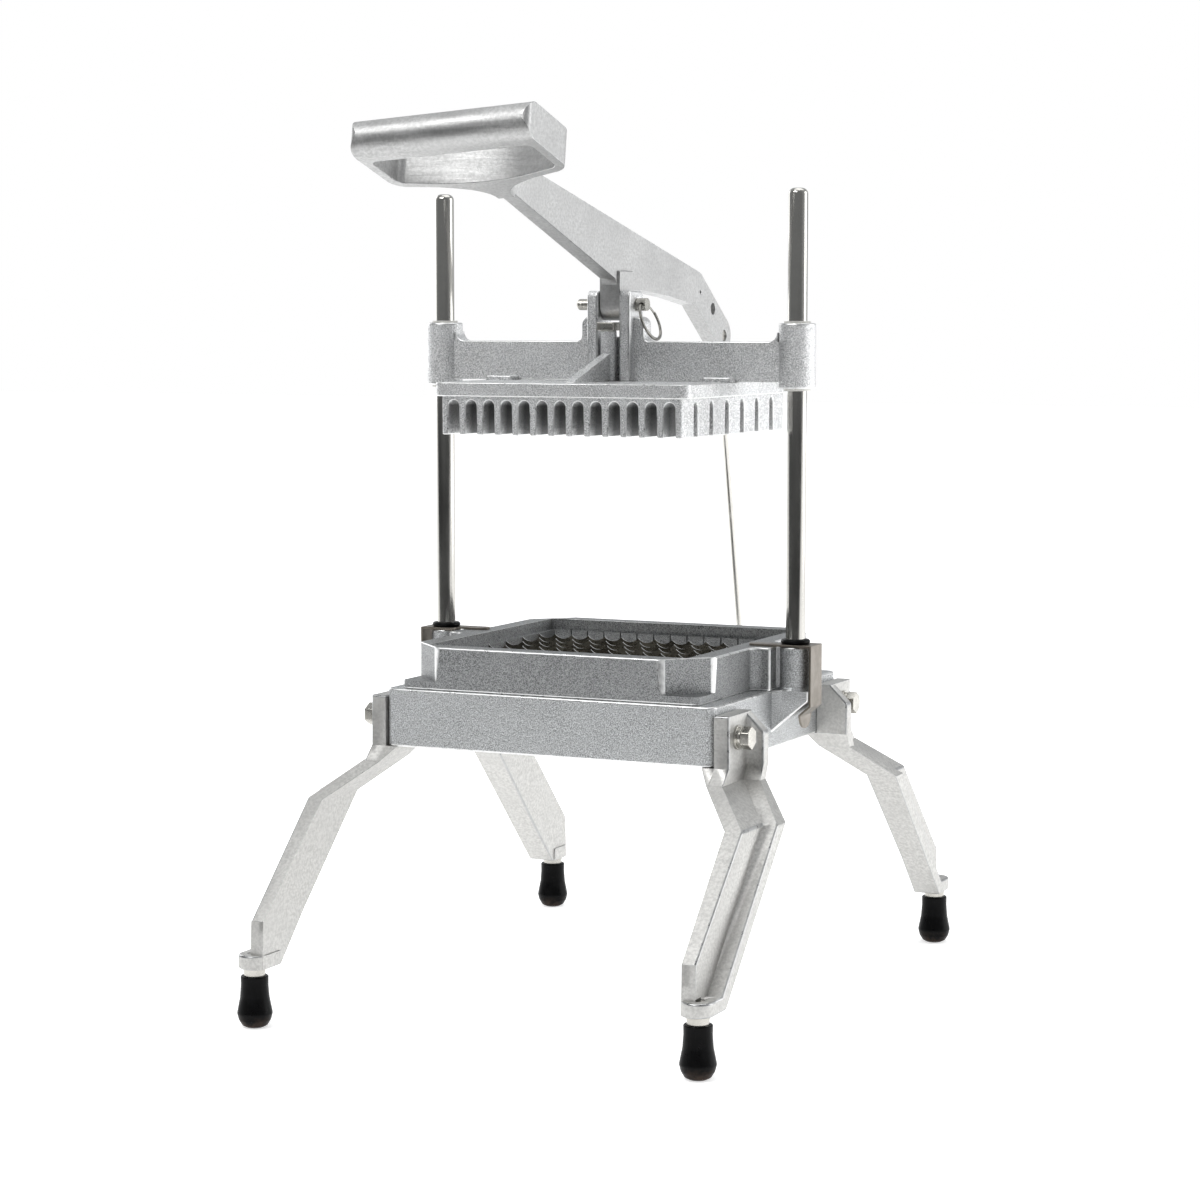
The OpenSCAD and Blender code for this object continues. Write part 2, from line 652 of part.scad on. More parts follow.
module arm_profile() {
  polygon([
    [-grip_y + 78, grip_z - 12.9], [elbow_y + 2, elbow_z + elbow_r], [elbow_y - 5, elbow_z - elbow_r + 0.4],
    [0.637 * elbow_y, 0.455 * elbow_z], [0.274 * elbow_y, 0.81 * elbow_z], [2.5 - lug_r, lug_r - 0.9],
    [-1.295 * lug_r, 1.62 * lug_r], [-grip_y + 84, grip_z - 35.1], [-grip_y + 78, grip_z - 33.5]
  ]);
  hull() {
    translate([elbow_y, elbow_z]) circle(elbow_r);
    translate([tail_y, -tail_z]) circle(tail_r);
  }
}

module handle() color("#c6c8ca") translate([0, 0, pivot_z]) difference() {
  union() {
    along_x(arm_t) arm_profile();
    along_x(lug_w) {
      circle(lug_r);
      translate([-lug_r, 0]) square([2 * lug_r, 22]);
    }
    translate([0, -grip_y, grip_z]) rotate([-grip_tilt, 0, 0]) rotate([0, -grip_roll, 0]) grip_ring();
  }
  bar_x(-lug_w, lug_w, pin_d + 2 * run);
  translate([0, tail_y, -tail_z]) bar_x(-arm_t, arm_t, pin_c);
  // fork for the upper link eye, open at the end of the tail
  along_x(fork_w) translate([tail_y, -tail_z]) {
    circle(eye_r + 0.8);
    rotate(atan2(elbow_z + tail_z, elbow_y - tail_y)) translate([-30, -20]) square([33.5, 40]);
  }
  translate([0, tail_y - 21, 19 - tail_z]) bar_x(-arm_t, arm_t, 8);
  translate([0, tail_y - 43, 30.5 - tail_z]) bar_x(2, arm_t, 2.5);
}

module link_pin_top() color("#c4c2ba") translate([0, c_y, c_z]) bar_x(-arm_t / 2, arm_t / 2 - 1.2, pin_c);

// Quick-release pin and its pull ring
module release_pin() color("#c9c3b2") translate([0, 0, pivot_z]) difference() {
  union() {
    bar_x(1.5 - pin_left, pin_head + 1, pin_d);
    translate([-pin_left, 0, 0]) rotate([0, 90, 0]) cylinder(h = 1.5, d1 = pin_d - 2.4, d2 = pin_d);
    bar_x(pin_head, pin_head + head_l, pin_d + 1);
  }
  translate([eyelet_x, 0, 0]) rotate([90, 0, 0]) cylinder(h = 30, d = 3.2, center = true);
}

module key_ring() color("#c9c3b2") translate([eyelet_x, 0, pivot_z]) rotate([0, -key_lean, 0])
  translate([0, 0, 0.4 - key_r]) rotate([0, 90, 0]) rotate_extrude() translate([key_r, 0]) circle(d = key_wire);

base_frame();
leg_front_right();
leg_front_left();
leg_rear_right();
leg_rear_left();
leg_bolts();
leg_washers();
foot_studs();
foot_front_right();
foot_front_left();
foot_rear_right();
foot_rear_left();
guide_rod_right();
guide_rod_left();
stop_ring_right();
stop_ring_left();
clip_right();
clip_left();
blade_holder();
cross_blades();
length_blades();
rear_bracket();
bracket_screws();
link_pin_low();
link_retainer();
pusher_head();
push_block();
head_bolt();
bush_right();
bush_left();
handle();
link_pin_top();
link();
release_pin();
key_ring();
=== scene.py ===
"""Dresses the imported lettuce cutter: rounded castings, metal and rubber finishes, and a studio stage."""

import json
import math

import bmesh
import bpy
from bpy.props import FloatProperty, FloatVectorProperty, PointerProperty
from mathutils import Matrix, Vector
from mathutils.geometry import intersect_point_line


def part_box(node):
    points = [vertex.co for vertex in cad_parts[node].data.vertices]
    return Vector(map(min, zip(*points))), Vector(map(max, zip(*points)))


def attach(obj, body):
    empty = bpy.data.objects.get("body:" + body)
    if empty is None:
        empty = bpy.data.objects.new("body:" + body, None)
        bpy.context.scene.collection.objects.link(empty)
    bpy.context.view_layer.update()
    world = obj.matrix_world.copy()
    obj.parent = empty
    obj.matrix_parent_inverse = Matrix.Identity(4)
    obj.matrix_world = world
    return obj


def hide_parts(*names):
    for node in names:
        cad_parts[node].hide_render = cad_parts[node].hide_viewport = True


bl_info = {
    "name": "Lettuce Cutter Dresser",
    "version": (1, 0, 0),
    "blender": (4, 5, 0),
    "location": "View3D > Sidebar > Cutter",
    "description": "Rounds the castings, finishes every piece and sets a studio stage",
    "category": "Object",
}

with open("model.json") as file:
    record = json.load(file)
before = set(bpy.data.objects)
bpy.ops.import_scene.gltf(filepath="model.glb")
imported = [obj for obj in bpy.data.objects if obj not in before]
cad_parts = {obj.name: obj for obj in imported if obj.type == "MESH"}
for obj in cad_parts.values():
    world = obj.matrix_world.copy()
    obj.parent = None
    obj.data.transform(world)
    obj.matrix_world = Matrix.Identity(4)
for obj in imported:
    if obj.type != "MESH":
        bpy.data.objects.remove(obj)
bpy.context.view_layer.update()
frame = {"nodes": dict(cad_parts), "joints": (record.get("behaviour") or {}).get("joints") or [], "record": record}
BODY_OF = {n: b for b, nodes in frame["record"]["behaviour"]["bodies"].items() for n in nodes}
JOINT = {j["name"]: j for j in frame["joints"]}

# Lengths are in metres.
# Reading a CAD mesh: corners this close are one, and faces this flat are one
WELD = 2e-6
FLAT_ANGLE = math.radians(0.5)
# A crease turns by at least this between its faces and between their exact normals
CREASE_ANGLE = math.radians(15)
NORMAL_STEP = math.radians(4)

# Share of the way to a crease, or to a smooth edge across the face, that a rounding may take
CREASE_SHARE = 0.42
SMOOTH_SHARE = 0.9
# An edge lies across the face if this much of the step to it does
ACROSS = 0.7
# Other edges count within this many roundings
LOOK_AROUND = 2.5
# From this angle on, the next edge carries on the same line
RUNS_ON = math.radians(155)
# From this angle on, two roundings taper into each other, by this slope and down to this step
TAPER_ANGLE = math.radians(140)
TAPER_SLOPE = 0.4
TAPER_STEP = 1e-7
# Narrowest rounding that is made
NARROWEST = 0.00008

# A hollow fillet needs a crease of this angle, and of this length in fillet radii
HOLLOW_ANGLE = math.radians(50)
FILLET_LENGTH = 3
# It meets its neighbours squarely or in line
SQUARE_ANGLES = math.radians(62), math.radians(118)
IN_LINE = math.radians(170)
FILLET_SEGMENTS = 4
# Edges around it stay sharp from this angle on
SHARP_ANGLE = math.radians(30)

# Share of the common rounding on the push block, the handle and the bolt heads
BLOCK_SHARE = 0.6
HANDLE_SHARE = 0.4
BOLT_SHARE = 2.4
# Blade holder: height of an upright corner and margin around the blade slots
UPRIGHT = 0.01
SLOT_MARGIN = 0.001
# Push block: thickness of its top plate and height in which a finger's tip is found
PLATE_THICKNESS = 0.009
TIP_HEIGHT = 0.001
# Upward slant of a blade's ground edge
EDGE_SLANT = 0.2
# Lock balls of the release pin: radius, distance from the pin's end and from its middle
BALL_RADIUS = 0.0014
BALL_INSET = 0.0035
BALL_OFFSET = 0.0027
BALL_SEGMENTS = 16
# Pull ring: turn of its wire, steps of the turn, corners of the wire and its height over its thickness
RING_TURN = math.radians(660)
RING_STEPS = 110
WIRE_CORNERS = 12
WIRE_HEIGHT = 1.9

# Stage: half width of the floor, point that the lights face, and place and size of each light
FLOOR_REACH = 12
LIT_POINT = Vector((0, 0, 0.27))
LIGHTS = {
    "right": ((1.75, 1.0, 0.8), (1.2, 1.4)),
    "left": ((-1.8, 0.9, 0.9), (1.2, 1.2)),
    "front": ((-0.5, -1.5, 2.1), (1.6, 0.9)),
    "top": ((0.1, 0.3, 2.1), (1.6, 1.6)),
}
# Floor as it is, and as it is mirrored in front of the first depth; from the second depth on it is white
WHITE_FLOOR = (0.85, 0.85, 0.85)
MIRRORED_FLOOR = (0.06, 0.06, 0.06)
MIRROR_DEPTHS = -1.2, -0.6
# Distances from the cutter between which the floor's glow grows to its full strength
GLOW_REACH = 0.3, 1.5
# Share of the ambient light in front, and the directions between which it grows to that from behind
FRONT_AMBIENT = 0.39
AMBIENT_TURN = -0.5, 0.8
# Camera: width of the sensor in mm, and nearest and furthest distance
SENSOR_WIDTH = 36
CLIP_DISTANCES = 0.05, 60


class CutterSizes(bpy.types.PropertyGroup):
    """Roundings and surface scales, in metres."""

    casting_round: FloatProperty(
        name="Casting edges", description="Rounding of the sand-cast edges", default=0.0013, unit="LENGTH"
    )
    casting_fillet: FloatProperty(
        name="Casting fillets",
        description="Hollow fillets of the sand castings",
        default=0.003,
        unit="LENGTH",
    )
    leg_fillet: FloatProperty(
        name="Leg fillets", description="Hollow fillets beside the legs' ribs", default=0.004, unit="LENGTH"
    )
    holder_round: FloatProperty(
        name="Holder corners",
        description="Rounding of the holder's cut corners",
        default=0.003,
        unit="LENGTH",
    )
    leg_round: FloatProperty(
        name="Leg edges", description="Rounding of the leg and handle edges", default=0.0014, unit="LENGTH"
    )
    foot_round: FloatProperty(
        name="Foot edges", description="Rounding of the rubber feet", default=0.0004, unit="LENGTH"
    )
    fine_round: FloatProperty(
        name="Fine edges", description="Rounding of fasteners, clips and pins", default=0.00025, unit="LENGTH"
    )
    grain: FloatProperty(
        name="Sand grain", description="Size of one grain of the cast skin", default=0.0004, unit="LENGTH"
    )
    ring_wire: FloatProperty(
        name="Ring wire", description="Thickness of the pull ring's wire", default=0.0011, unit="LENGTH"
    )
    ring_radius: FloatProperty(
        name="Ring radius", description="Middle radius of the pull ring", default=0.0124, unit="LENGTH"
    )


class CutterColours(bpy.types.PropertyGroup):
    """Base colours of the finishes."""

    cast: FloatVectorProperty(
        name="Cast skin", description="Sand-cast aluminium", subtype="COLOR", default=(0.55, 0.56, 0.565)
    )
    rubbed: FloatVectorProperty(
        name="Rubbed edge", description="Edges worn bright", subtype="COLOR", default=(0.86, 0.865, 0.86)
    )
    tumbled: FloatVectorProperty(
        name="Tumbled casting", description="Smooth handle", subtype="COLOR", default=(0.70, 0.70, 0.695)
    )
    # Painted light: the legs' colour is a brighter, warmer copy of the tumbled casting.
    leg: FloatVectorProperty(
        name="Leg casting", description="Warmer smooth legs", subtype="COLOR", default=(0.78, 0.772, 0.748)
    )
    rod: FloatVectorProperty(
        name="Rod steel", description="Polished rods and link", subtype="COLOR", default=(0.56, 0.55, 0.52)
    )
    plating: FloatVectorProperty(
        name="Plating", description="Bolts, pins and screws", subtype="COLOR", default=(0.56, 0.545, 0.505)
    )
    clip: FloatVectorProperty(
        name="Clip plating", description="Brownish sheet clips", subtype="COLOR", default=(0.25, 0.225, 0.195)
    )
    # Painted shade: the blade colour is kept far darker than bare steel, for the shade inside the holder's mouth.
    blade: FloatVectorProperty(
        name="Blade steel", description="Ground blade strip", subtype="COLOR", default=(0.24, 0.225, 0.19)
    )
    rubber: FloatVectorProperty(
        name="Rubber", description="Feet and stop rings", subtype="COLOR", default=(0.0016, 0.0016, 0.0018)
    )
    scuff: FloatVectorProperty(
        name="Scuff", description="Worn bottoms of the feet", subtype="COLOR", default=(0.045, 0.03, 0.022)
    )
    bush: FloatVectorProperty(
        name="Bush plastic", description="White bearing plastic", subtype="COLOR", default=(0.80, 0.79, 0.75)
    )


class CutterStage(bpy.types.PropertyGroup):
    """Camera and lights."""

    camera_place: FloatVectorProperty(
        name="Camera place",
        description="Where the camera stands",
        subtype="XYZ",
        default=(0.8305, -1.7904, 0.4485),
    )
    camera_turn: FloatProperty(
        name="Camera turn",
        description="Turn of the camera to the left",
        subtype="ANGLE",
        default=math.radians(25.199),
    )
    camera_pitch: FloatProperty(
        name="Camera pitch",
        description="Downward tilt of the camera",
        subtype="ANGLE",
        default=math.radians(5.516),
    )
    lens: FloatProperty(name="Lens", description="Focal length on a 36 mm sensor", default=89.406)
    right_power: FloatProperty(name="Right light", description="Large light on the right, W", default=13.0)
    left_power: FloatProperty(name="Left light", description="Large light on the left, W", default=8.0)
    front_power: FloatProperty(name="Front light", description="High light in front, W", default=26.0)
    top_power: FloatProperty(name="Top light", description="Overhead light, W", default=11.0)
    ambient: FloatProperty(name="Ambient", description="Strength of the light from behind", default=0.61)


def add(tree, kind, values=None, links=None, **settings):
    """New shader node with settings, socket values and links into it."""
    made = tree.nodes.new(kind)
    for name, value in settings.items():
        setattr(made, name, value)
    for name, value in (values or {}).items():
        made.inputs[name].default_value = value
    for name, output in (links or {}).items():
        tree.links.new(output, made.inputs[name])
    return made


def shader(name, colour, metallic, roughness):
    """New material, its tree and its Principled node with the constants on the sockets."""
    material = bpy.data.materials.new(name)
    material.use_nodes = True
    tree = material.node_tree
    principled = tree.nodes["Principled BSDF"]
    principled.inputs["Base Color"].default_value = (*colour, 1)
    principled.inputs["Metallic"].default_value = metallic
    principled.inputs["Roughness"].default_value = roughness
    return material, tree, principled


def place(tree, stretch=(1, 1, 1), turn=(0, 0, 0)):
    """Object coordinates, stretched and turned."""
    where = add(tree, "ShaderNodeTexCoord")
    return add(
        tree, "ShaderNodeMapping", {"Scale": stretch, "Rotation": turn}, {"Vector": where.outputs["Object"]}
    ).outputs["Vector"]


def noise(tree, vector, scale, detail=2.0, rough=0.5):
    """Noise value at a scale in cells per metre."""
    return add(
        tree,
        "ShaderNodeTexNoise",
        {"Scale": scale, "Detail": detail, "Roughness": rough},
        {"Vector": vector},
    ).outputs["Fac"]


def spread(tree, value, low, high, to_low, to_high):
    """Value mapped from one span to another and held there."""
    return add(
        tree,
        "ShaderNodeMapRange",
        {"From Min": low, "From Max": high, "To Min": to_low, "To Max": to_high},
        {"Value": value},
    ).outputs["Result"]


def calculate(tree, operation, first, second):
    """Math node on an output and an output or number."""
    made = add(tree, "ShaderNodeMath", operation=operation)
    for socket, value in zip(made.inputs, (first, second)):
        if isinstance(value, (int, float)):
            socket.default_value = value
        else:
            tree.links.new(value, socket)
    return made.outputs[0]


def tint(tree, factor, first, second):
    """Colour between two by a factor; each is a colour or an output."""
    made = tree.nodes.new("ShaderNodeMix")
    made.data_type = "RGBA"
    tree.links.new(factor, made.inputs[0])
    for socket, value in ((made.inputs[6], first), (made.inputs[7], second)):
        if isinstance(value, bpy.types.NodeSocket):
            tree.links.new(value, socket)
        else:
            socket.default_value = (*value, 1)
    return made.outputs[2]


def set_skin(tree, principled, colour, rough=None):
    """Links the base colour and, if given, the roughness."""
    tree.links.new(colour, principled.inputs["Base Color"])
    if rough is not None:
        tree.links.new(rough, principled.inputs["Roughness"])


def raise_surface(tree, principled, height, strength, depth):
    """Bump from a height, with its depth in metres."""
    bump = add(tree, "ShaderNodeBump", {"Strength": strength, "Distance": depth}, {"Height": height})
    tree.links.new(bump.outputs["Normal"], principled.inputs["Normal"])


def shade(colour, amount):
    """Colour times an amount."""
    return tuple(min(1.0, c * amount) for c in colour)


def sand_cast(name, colour, grain, field=None):
    """Grainy skin of a sand casting with dull patches and small pits, and painted shade between the fingers of a
    field.
    """
    material, tree, principled = shader(name, colour, 0.95, 0.5)
    where = place(tree)
    sand = noise(tree, where, 0.62 / grain, 3.0, 0.65)
    pits = noise(tree, where, 0.22 / grain, 2.0, 0.5)
    patches = noise(tree, where, 28.0, 4.0, 0.6)
    grains, hollows = calculate(tree, "MULTIPLY", sand, 0.7), calculate(tree, "MULTIPLY", pits, 0.6)
    skin = tint(tree, spread(tree, sand, 0.4, 0.6, 0.0, 1.0), shade(colour, 0.4), shade(colour, 1.42))
    skin = tint(tree, spread(tree, patches, 0.35, 0.7, 0.0, 0.35), skin, shade(colour, 1.12))
    if field:
        # Painted shade between the fingers.
        skin = tint(tree, between_fingers(tree, where, *field), skin, shade(colour, 0.12))
    set_skin(tree, principled, skin, spread(tree, patches, 0.3, 0.7, 0.36, 0.52))
    raise_surface(tree, principled, calculate(tree, "ADD", grains, hollows), 0.75, 0.0006)
    return material


def between_fingers(tree, where, half_width, half_depth, plate):
    """Share of shadow between the fingers, from none at the outer rows to most further in."""
    split = add(tree, "ShaderNodeSeparateXYZ", links={"Vector": where}).outputs
    across, along = (
        calculate(tree, "SUBTRACT", calculate(tree, "ABSOLUTE", split[axis], 0.0), half)
        for axis, half in (("X", half_width), ("Y", half_depth))
    )
    inside = spread(tree, calculate(tree, "MAXIMUM", across, along), -0.009, -0.001, 0.85, 0.0)
    below = spread(tree, split["Z"], plate - 0.001, plate + 0.0005, 1.0, 0.0)
    return calculate(tree, "MULTIPLY", inside, below)


def rubbed_edge(name, colour):
    """Worn bright edge of a casting."""
    material, tree, principled = shader(name, colour, 1.0, 0.3)
    wear = noise(tree, place(tree), 240.0, 3.0, 0.6)
    tone = tint(tree, spread(tree, wear, 0.35, 0.6, 0.0, 1.0), shade(colour, 0.82), colour)
    set_skin(tree, principled, tone, spread(tree, wear, 0.3, 0.7, 0.24, 0.42))
    raise_surface(tree, principled, wear, 0.25, 0.0003)
    return material


def tumbled_cast(name, colour):
    """Smooth casting with a fine skin and long sanding marks."""
    material, tree, principled = shader(name, colour, 0.95, 0.42)
    where = place(tree)
    skin = noise(tree, where, 520.0, 3.0, 0.6)
    cloud = noise(tree, where, 22.0, 4.0, 0.6)
    marks = noise(tree, place(tree, (40, 40, 620), (0.5, 0.2, 0.0)), 1.0, 2.0, 0.5)
    tone = tint(tree, spread(tree, cloud, 0.35, 0.68, 0.0, 1.0), shade(colour, 0.88), shade(colour, 1.1))
    tone = tint(tree, spread(tree, skin, 0.38, 0.62, 0.0, 0.45), shade(colour, 0.66), tone)
    dull, sanded = spread(tree, cloud, 0.3, 0.7, 0.38, 0.5), spread(tree, marks, 0.4, 0.7, 0.0, 0.1)
    set_skin(tree, principled, tone, calculate(tree, "ADD", dull, sanded))
    height = calculate(tree, "ADD", skin, calculate(tree, "MULTIPLY", marks, 0.6))
    raise_surface(tree, principled, height, 0.4, 0.0003)
    return material


def drawn_steel(name, colour, stretch, low, high, bump=0.08, stain=0.84):
    """Steel with fine lines along its length and faint spots."""
    material, tree, principled = shader(name, colour, 1.0, low)
    lines = noise(tree, place(tree, stretch), 1.0, 2.0, 0.5)
    spots = noise(tree, place(tree), 75.0, 4.0, 0.65)
    tone = tint(tree, spread(tree, spots, 0.4, 0.7, 0.0, 1.0), colour, shade(colour, stain))
    dull, drawn = spread(tree, spots, 0.35, 0.7, low, high), spread(tree, lines, 0.4, 0.65, 0.0, 0.06)
    set_skin(tree, principled, tone, calculate(tree, "ADD", dull, drawn))
    raise_surface(tree, principled, lines, bump, 0.0002)
    return material


def moulded_rubber(name, colour, scuff):
    """Black rubber with dust in the pores and worn brown bottoms."""
    material, tree, principled = shader(name, colour, 0.0, 0.5)
    principled.inputs["Specular IOR Level"].default_value = 0.1
    where = place(tree)
    pores = noise(tree, where, 900.0, 2.0, 0.6)
    dust = noise(tree, where, 150.0, 4.0, 0.65)
    height = add(tree, "ShaderNodeSeparateXYZ", links={"Vector": where}).outputs["Z"]
    low, worn = spread(tree, height, 0.001, 0.009, 1.0, 0.0), spread(tree, dust, 0.42, 0.62, 0.0, 1.0)
    tone = tint(tree, spread(tree, dust, 0.5, 0.72, 0.0, 0.4), colour, shade(colour, 4.0))
    tone = tint(tree, calculate(tree, "MULTIPLY", low, worn), tone, scuff)
    set_skin(tree, principled, tone, spread(tree, dust, 0.35, 0.7, 0.26, 0.46))
    raise_surface(tree, principled, pores, 0.3, 0.0002)
    return material


def bearing_plastic(name, colour):
    """Waxy white plastic with faint grey smears."""
    material, tree, principled = shader(name, colour, 0.0, 0.42)
    smear = noise(tree, place(tree, (90, 90, 25)), 1.0, 3.0, 0.6)
    tone = tint(tree, spread(tree, smear, 0.45, 0.75, 0.0, 1.0), colour, shade(colour, 0.8))
    set_skin(tree, principled, tone)
    raise_surface(tree, principled, smear, 0.1, 0.0002)
    return material


def finger_field():
    """Half width and half depth of the push block's fingers, and the height of the plate above them."""
    spots = [vert.co for vert in frame["nodes"]["push_block"].data.vertices]
    tips = min(spot.z for spot in spots)
    fingers = [spot for spot in spots if spot.z < tips + TIP_HEIGHT]
    plate = max(spot.z for spot in spots) - PLATE_THICKNESS
    return max(abs(f.x) for f in fingers), max(abs(f.y) for f in fingers), plate


def finish(name):
    """Finish by name, made once."""
    found = bpy.data.materials.get(name)
    if found:
        return found
    c, s = bpy.context.scene.cutter_colours, bpy.context.scene.cutter_sizes
    makers = {
        "Sand cast skin": lambda: sand_cast(name, c.cast, s.grain),
        # Darker copy of the cast skin for the blade holder: painted shade.
        "Dark cast skin": lambda: sand_cast(name, shade(c.cast, 0.62), s.grain),
        # Brighter copy of the cast skin for the pusher head: painted light.
        "Bright cast skin": lambda: sand_cast(name, shade(c.cast, 1.45), s.grain),
        # Brighter copy of the cast skin for the push block, a painted light, with painted shade between its
        # fingers.
        "Finger field skin": lambda: sand_cast(name, shade(c.cast, 1.3), s.grain, finger_field()),
        "Worn edge": lambda: rubbed_edge(name, shade(c.rubbed, 0.6)),
        "Ring wire": lambda: drawn_steel(name, shade(c.plating, 0.55), (300, 300, 300), 0.16, 0.26),
        "Rubbed edge": lambda: rubbed_edge(name, c.rubbed),
        "Tumbled casting": lambda: tumbled_cast(name, c.tumbled),
        # Brighter copy of the tumbled casting for the legs: painted light.
        "Leg casting": lambda: tumbled_cast(name, c.leg),
        "Rod steel": lambda: drawn_steel(name, c.rod, (260, 260, 12), 0.09, 0.13, 0.04, 0.94),
        "Bright plating": lambda: drawn_steel(name, c.plating, (120, 300, 300), 0.18, 0.32),
        "Clip plating": lambda: drawn_steel(name, c.clip, (60, 260, 60), 0.28, 0.46, 0.15),
        # Blade steel darkened as painted shade.
        "Blade steel": lambda: drawn_steel(name, c.blade, (40, 40, 500), 0.16, 0.34),
        "Moulded rubber": lambda: moulded_rubber(name, c.rubber, c.scuff),
        "Bearing plastic": lambda: bearing_plastic(name, c.bush),
    }
    return makers[name]()


def finished(mesh, name, node, finishes, width=0.0, segments=2):
    """Object at the origin with finishes and rounded edges, which stands for a CAD node."""
    piece = bpy.data.objects.new(name, mesh)
    bpy.context.scene.collection.objects.link(piece)
    for label in finishes:
        mesh.materials.append(finish(label))
    if width:
        rounding = piece.modifiers.new("Rounded edges", "BEVEL")
        rounding.width = width
        rounding.segments = segments
        rounding.profile = 0.5
        rounding.limit_method = "WEIGHT"
        rounding.use_clamp_overlap = False
        rounding.loop_slide = False
        rounding.miter_outer = "MITER_SHARP"
        rounding.material = 1 if len(finishes) > 1 else -1
    even = piece.modifiers.new("Even shading", "WEIGHTED_NORMAL")
    even.keep_sharp = True
    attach(piece, BODY_OF[node])
    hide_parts(node)
    return piece


def creased(edge, exact):
    """Whether the exact normals beside an edge differ, so that it isn't part of a curved face."""
    if len(edge.link_loops) != 2 or edge.calc_face_angle(0.0) < CREASE_ANGLE:
        return False
    first, second = edge.link_loops
    pairs = ((first, second.link_loop_next), (first.link_loop_next, second))
    return any(a[exact].angle(b[exact], 0.0) > NORMAL_STEP for a, b in pairs)


def merged(node):
    """Copy of a CAD node's mesh as a bmesh: shared corners, whole flat faces and sharp creases."""
    source = frame["nodes"][node].data
    bm = bmesh.new()
    bm.from_mesh(source)
    exact = bm.loops.layers.float_vector.new("exact")
    for loop, normal in zip((loop for face in bm.faces for loop in face.loops), source.corner_normals):
        loop[exact] = normal.vector
    bmesh.ops.remove_doubles(bm, verts=bm.verts, dist=WELD)
    for edge in bm.edges:
        edge.smooth = not creased(edge, exact)
    bm.loops.layers.float_vector.remove(exact)
    bmesh.ops.dissolve_limit(
        bm, angle_limit=FLAT_ANGLE, use_dissolve_boundaries=False, verts=bm.verts, edges=bm.edges
    )
    return bm


def turns(edge):
    """Each edge that meets an edge at its ends, and the angle between the two."""
    for vert in edge.verts:
        along = edge.other_vert(vert).co - vert.co
        for other in vert.link_edges:
            if other is not edge:
                yield other, along.angle(other.other_vert(vert).co - vert.co, math.pi)


def middle(edge):
    """Middle of an edge."""
    return (edge.verts[0].co + edge.verts[1].co) / 2


def gap(edge, other, inward):
    """Distance to another edge of the same face, if that lies across the face."""
    nearest = 1.0
    for start, end, sign in ((edge, other, 1), (other, edge, -1)):
        first, second = (vert.co for vert in end.verts)
        for spot in (start.verts[0].co, start.verts[1].co, middle(start)):
            share = intersect_point_line(spot, first, second)[1]
            step = sign * (first.lerp(second, min(max(share, 0.0), 1.0)) - spot)
            if step.dot(inward) > ACROSS * step.length:
                nearest = min(nearest, step.length)
    return nearest


def room(edge, reach):
    """Widest rounding, up to a reach, that the faces beside an edge leave room for."""
    free = reach
    for other, angle in turns(edge):
        if angle < RUNS_ON:
            slope = math.sin(angle) if other.smooth else math.tan(angle / 2)
            free = min(free, CREASE_SHARE * other.calc_length() * slope)
    centre, half = middle(edge), edge.calc_length() / 2
    for loop in edge.link_loops:
        inward = loop.face.normal.cross(loop.link_loop_next.vert.co - loop.vert.co).normalized()
        for other in loop.face.edges:
            near = half + other.calc_length() / 2 + LOOK_AROUND * reach
            if (middle(other) - centre).length < near and not set(other.verts) & set(edge.verts):
                share = SMOOTH_SHARE if other.smooth else CREASE_SHARE
                free = min(free, gap(edge, other, inward) * share)
    return free


def clear(edge):
    """Whether an edge meets the others squarely or in line."""
    low, high = SQUARE_ANGLES
    return all(low < angle < high or angle > IN_LINE for _, angle in turns(edge))


def ease(width_of):
    """Narrows the roundings that run on into a narrower one, so that they taper gently."""
    settled = False
    while not settled:
        settled = True
        for edge in width_of:
            for other, angle in turns(edge):
                if other in width_of and angle > TAPER_ANGLE:
                    step = TAPER_SLOPE * min(edge.calc_length(), other.calc_length()) * math.sin(angle)
                    if width_of[edge] > width_of[other] + step + TAPER_STEP:
                        width_of[edge] = width_of[other] + step
                        settled = False


def fillet(bm, radius):
    """Concave fillets along the long inner creases."""
    inner = [
        edge
        for edge in bm.edges
        if not edge.smooth
        and not edge.is_convex
        and edge.calc_length() > FILLET_LENGTH * radius
        and clear(edge)
        and edge.calc_face_angle() > HOLLOW_ANGLE
        and room(edge, radius) >= radius
    ]
    made = bmesh.ops.bevel(
        bm,
        geom=inner,
        offset=radius,
        offset_type="OFFSET",
        segments=FILLET_SEGMENTS,
        profile=0.5,
        affect="EDGES",
        clamp_overlap=False,
        material=-1,
    )
    for edge in made["edges"]:
        edge.smooth = edge.calc_face_angle(0.0) < SHARP_ANGLE


def as_mesh(bm, name):
    """Mesh of a bmesh, shaded smooth between its edges."""
    for face in bm.faces:
        face.smooth = True
        face.material_index = 0
    mesh = bpy.data.meshes.new(name)
    bm.to_mesh(mesh)
    bm.free()
    if "custom_normal" in mesh.attributes:
        mesh.attributes.remove(mesh.attributes["custom_normal"])
    return mesh


def weigh(bm, width, rule=None):
    """Marks the outer creases to be rounded, each by its share of the width, as far as there is room."""
    weight = bm.edges.layers.float.new("bevel_weight_edge")
    outer = [edge for edge in bm.edges if not edge.smooth and edge.is_convex]
    width_of = {edge: room(edge, width * (rule(edge) if rule else 1.0)) for edge in outer}
    ease(width_of)
    for edge, span in width_of.items():
        edge.smooth = span > NARROWEST
        edge[weight] = span / width if edge.smooth else 0.0


def dress(node, finishes, width, segments=2, rule=None, hollow=0.0):
    """Rounded and finished piece for a CAD node."""
    name = node + "_piece"
    bm = merged(node)
    if hollow:
        fillet(bm, hollow)
    if width:
        weigh(bm, width, rule)
    return finished(as_mesh(bm, name), name, node, finishes, width, segments)


